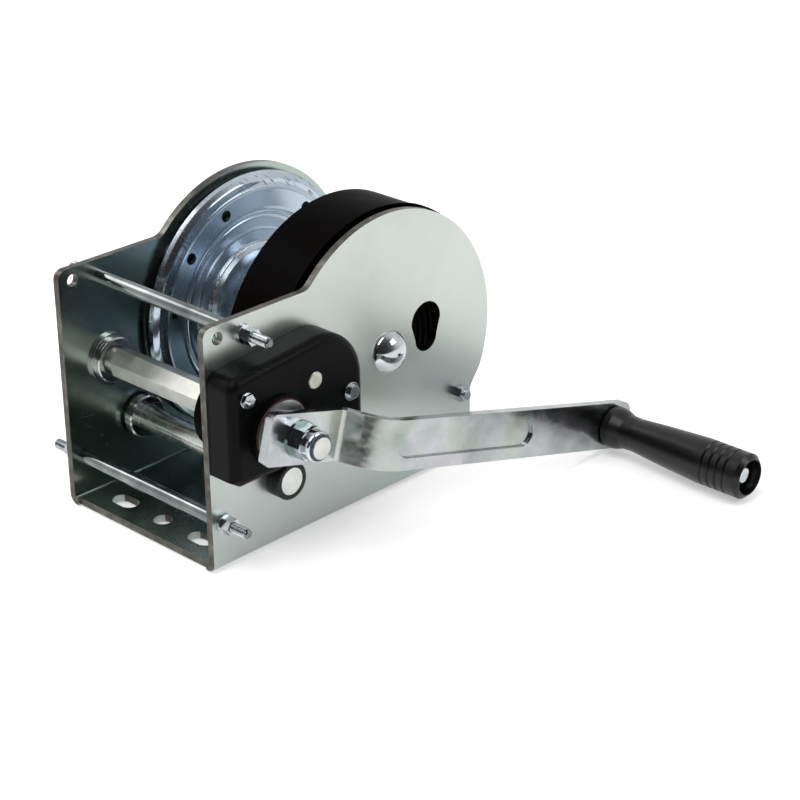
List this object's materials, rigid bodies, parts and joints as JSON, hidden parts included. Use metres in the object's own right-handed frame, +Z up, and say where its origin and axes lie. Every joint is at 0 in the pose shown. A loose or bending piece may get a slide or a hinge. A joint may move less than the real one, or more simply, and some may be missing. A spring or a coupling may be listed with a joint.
{
  "type": "mooring winch",
  "caption": "Hand winch in a bent U-shaped plate frame, with a dished cable drum behind a black gear guard, a moulded brake housing, an offset side crank and a turning grip.",
  "frame": {"origin": "middle of the underside of the base plate", "axes": "+X along the shafts towards the crank, +Y from the open front towards the drum, +Z up"},
  "size_m": [0.3489, 0.3233, 0.1974],
  "materials": {
    "zinc_frame": "bright zinc plated sheet steel",
    "zinc_rod": "bright zinc plated bar",
    "zinc_drum": "blue zinc plated pressing",
    "zinc_crank": "bright zinc plated bar with a faint tint",
    "zinc_bolt": "bright zinc plated fastener",
    "steel_shaft": "bright turned steel",
    "steel_bush": "turned steel",
    "steel_gear": "greased gear steel",
    "chrome_cap": "bright sprung cap",
    "black_guard": "satin moulded black",
    "black_housing": "satin moulded black",
    "black_bush": "moulded black",
    "black_grip": "smooth glossy black"
  },
  "bodies": {
    "frame": {"brake_housing": "black_housing", "crank_bush_left": "steel_bush", "crank_bush_right": "steel_bush", "dome_cap_left": "chrome_cap", "dome_cap_right": "chrome_cap", "drum_axle": "steel_shaft", "frame": "zinc_frame", "gear_guard": "black_guard", "guard_bolt": "zinc_bolt", "guard_nut": "zinc_bolt", "housing_collar": "black_housing", "housing_screw_front": "zinc_bolt", "housing_screw_rear": "zinc_bolt", "layshaft_bush_left": "steel_bush", "layshaft_bush_right": "black_bush", "low_nut_left": "zinc_bolt", "low_nut_right": "zinc_bolt", "low_tie_rod": "zinc_rod", "pawl_pin": "steel_shaft", "top_nut_left": "zinc_bolt", "top_nut_right": "zinc_bolt", "top_tie_rod": "zinc_rod"},
    "drum": {"drum_hub": "steel_shaft", "drum_core": "zinc_drum", "drum_flange_left": "zinc_drum", "drum_flange_right": "zinc_drum", "drum_gear": "steel_gear"},
    "layshaft": {"layshaft": "steel_shaft", "layshaft_pinion": "steel_gear", "layshaft_gear": "steel_gear"},
    "crank": {"crank_shaft": "steel_shaft", "crank_pinion": "steel_gear", "brake_disc": "steel_bush", "crank_arm": "zinc_crank", "crank_washer": "zinc_bolt", "crank_nut": "zinc_bolt", "grip_bolt": "zinc_bolt"},
    "grip": {"grip": "black_grip"}
  },
  "joints": [
    {"name": "drum_spin", "type": "hinge", "parent": "frame", "child": "drum", "pos_m": [0, 0.0395, 0.0995], "axis": [1, 0, 0], "continuous": true},
    {"name": "layshaft_spin", "type": "hinge", "parent": "frame", "child": "layshaft", "pos_m": [0, -0.05902, 0.04623], "axis": [1, 0, 0], "continuous": true},
    {"name": "crank_spin", "type": "hinge", "parent": "frame", "child": "crank", "pos_m": [0, -0.07936, 0.093], "axis": [1, 0, 0], "continuous": true},
    {"name": "grip_spin", "type": "hinge", "parent": "crank", "child": "grip", "pos_m": [0, 0.18656, 0.01725], "axis": [1, 0, 0], "continuous": true}
  ],
  "couplings": [
    {"joint": "layshaft_spin", "follows": "drum_spin", "ratio": -3},
    {"joint": "crank_spin", "follows": "drum_spin", "ratio": 6}
  ]
}
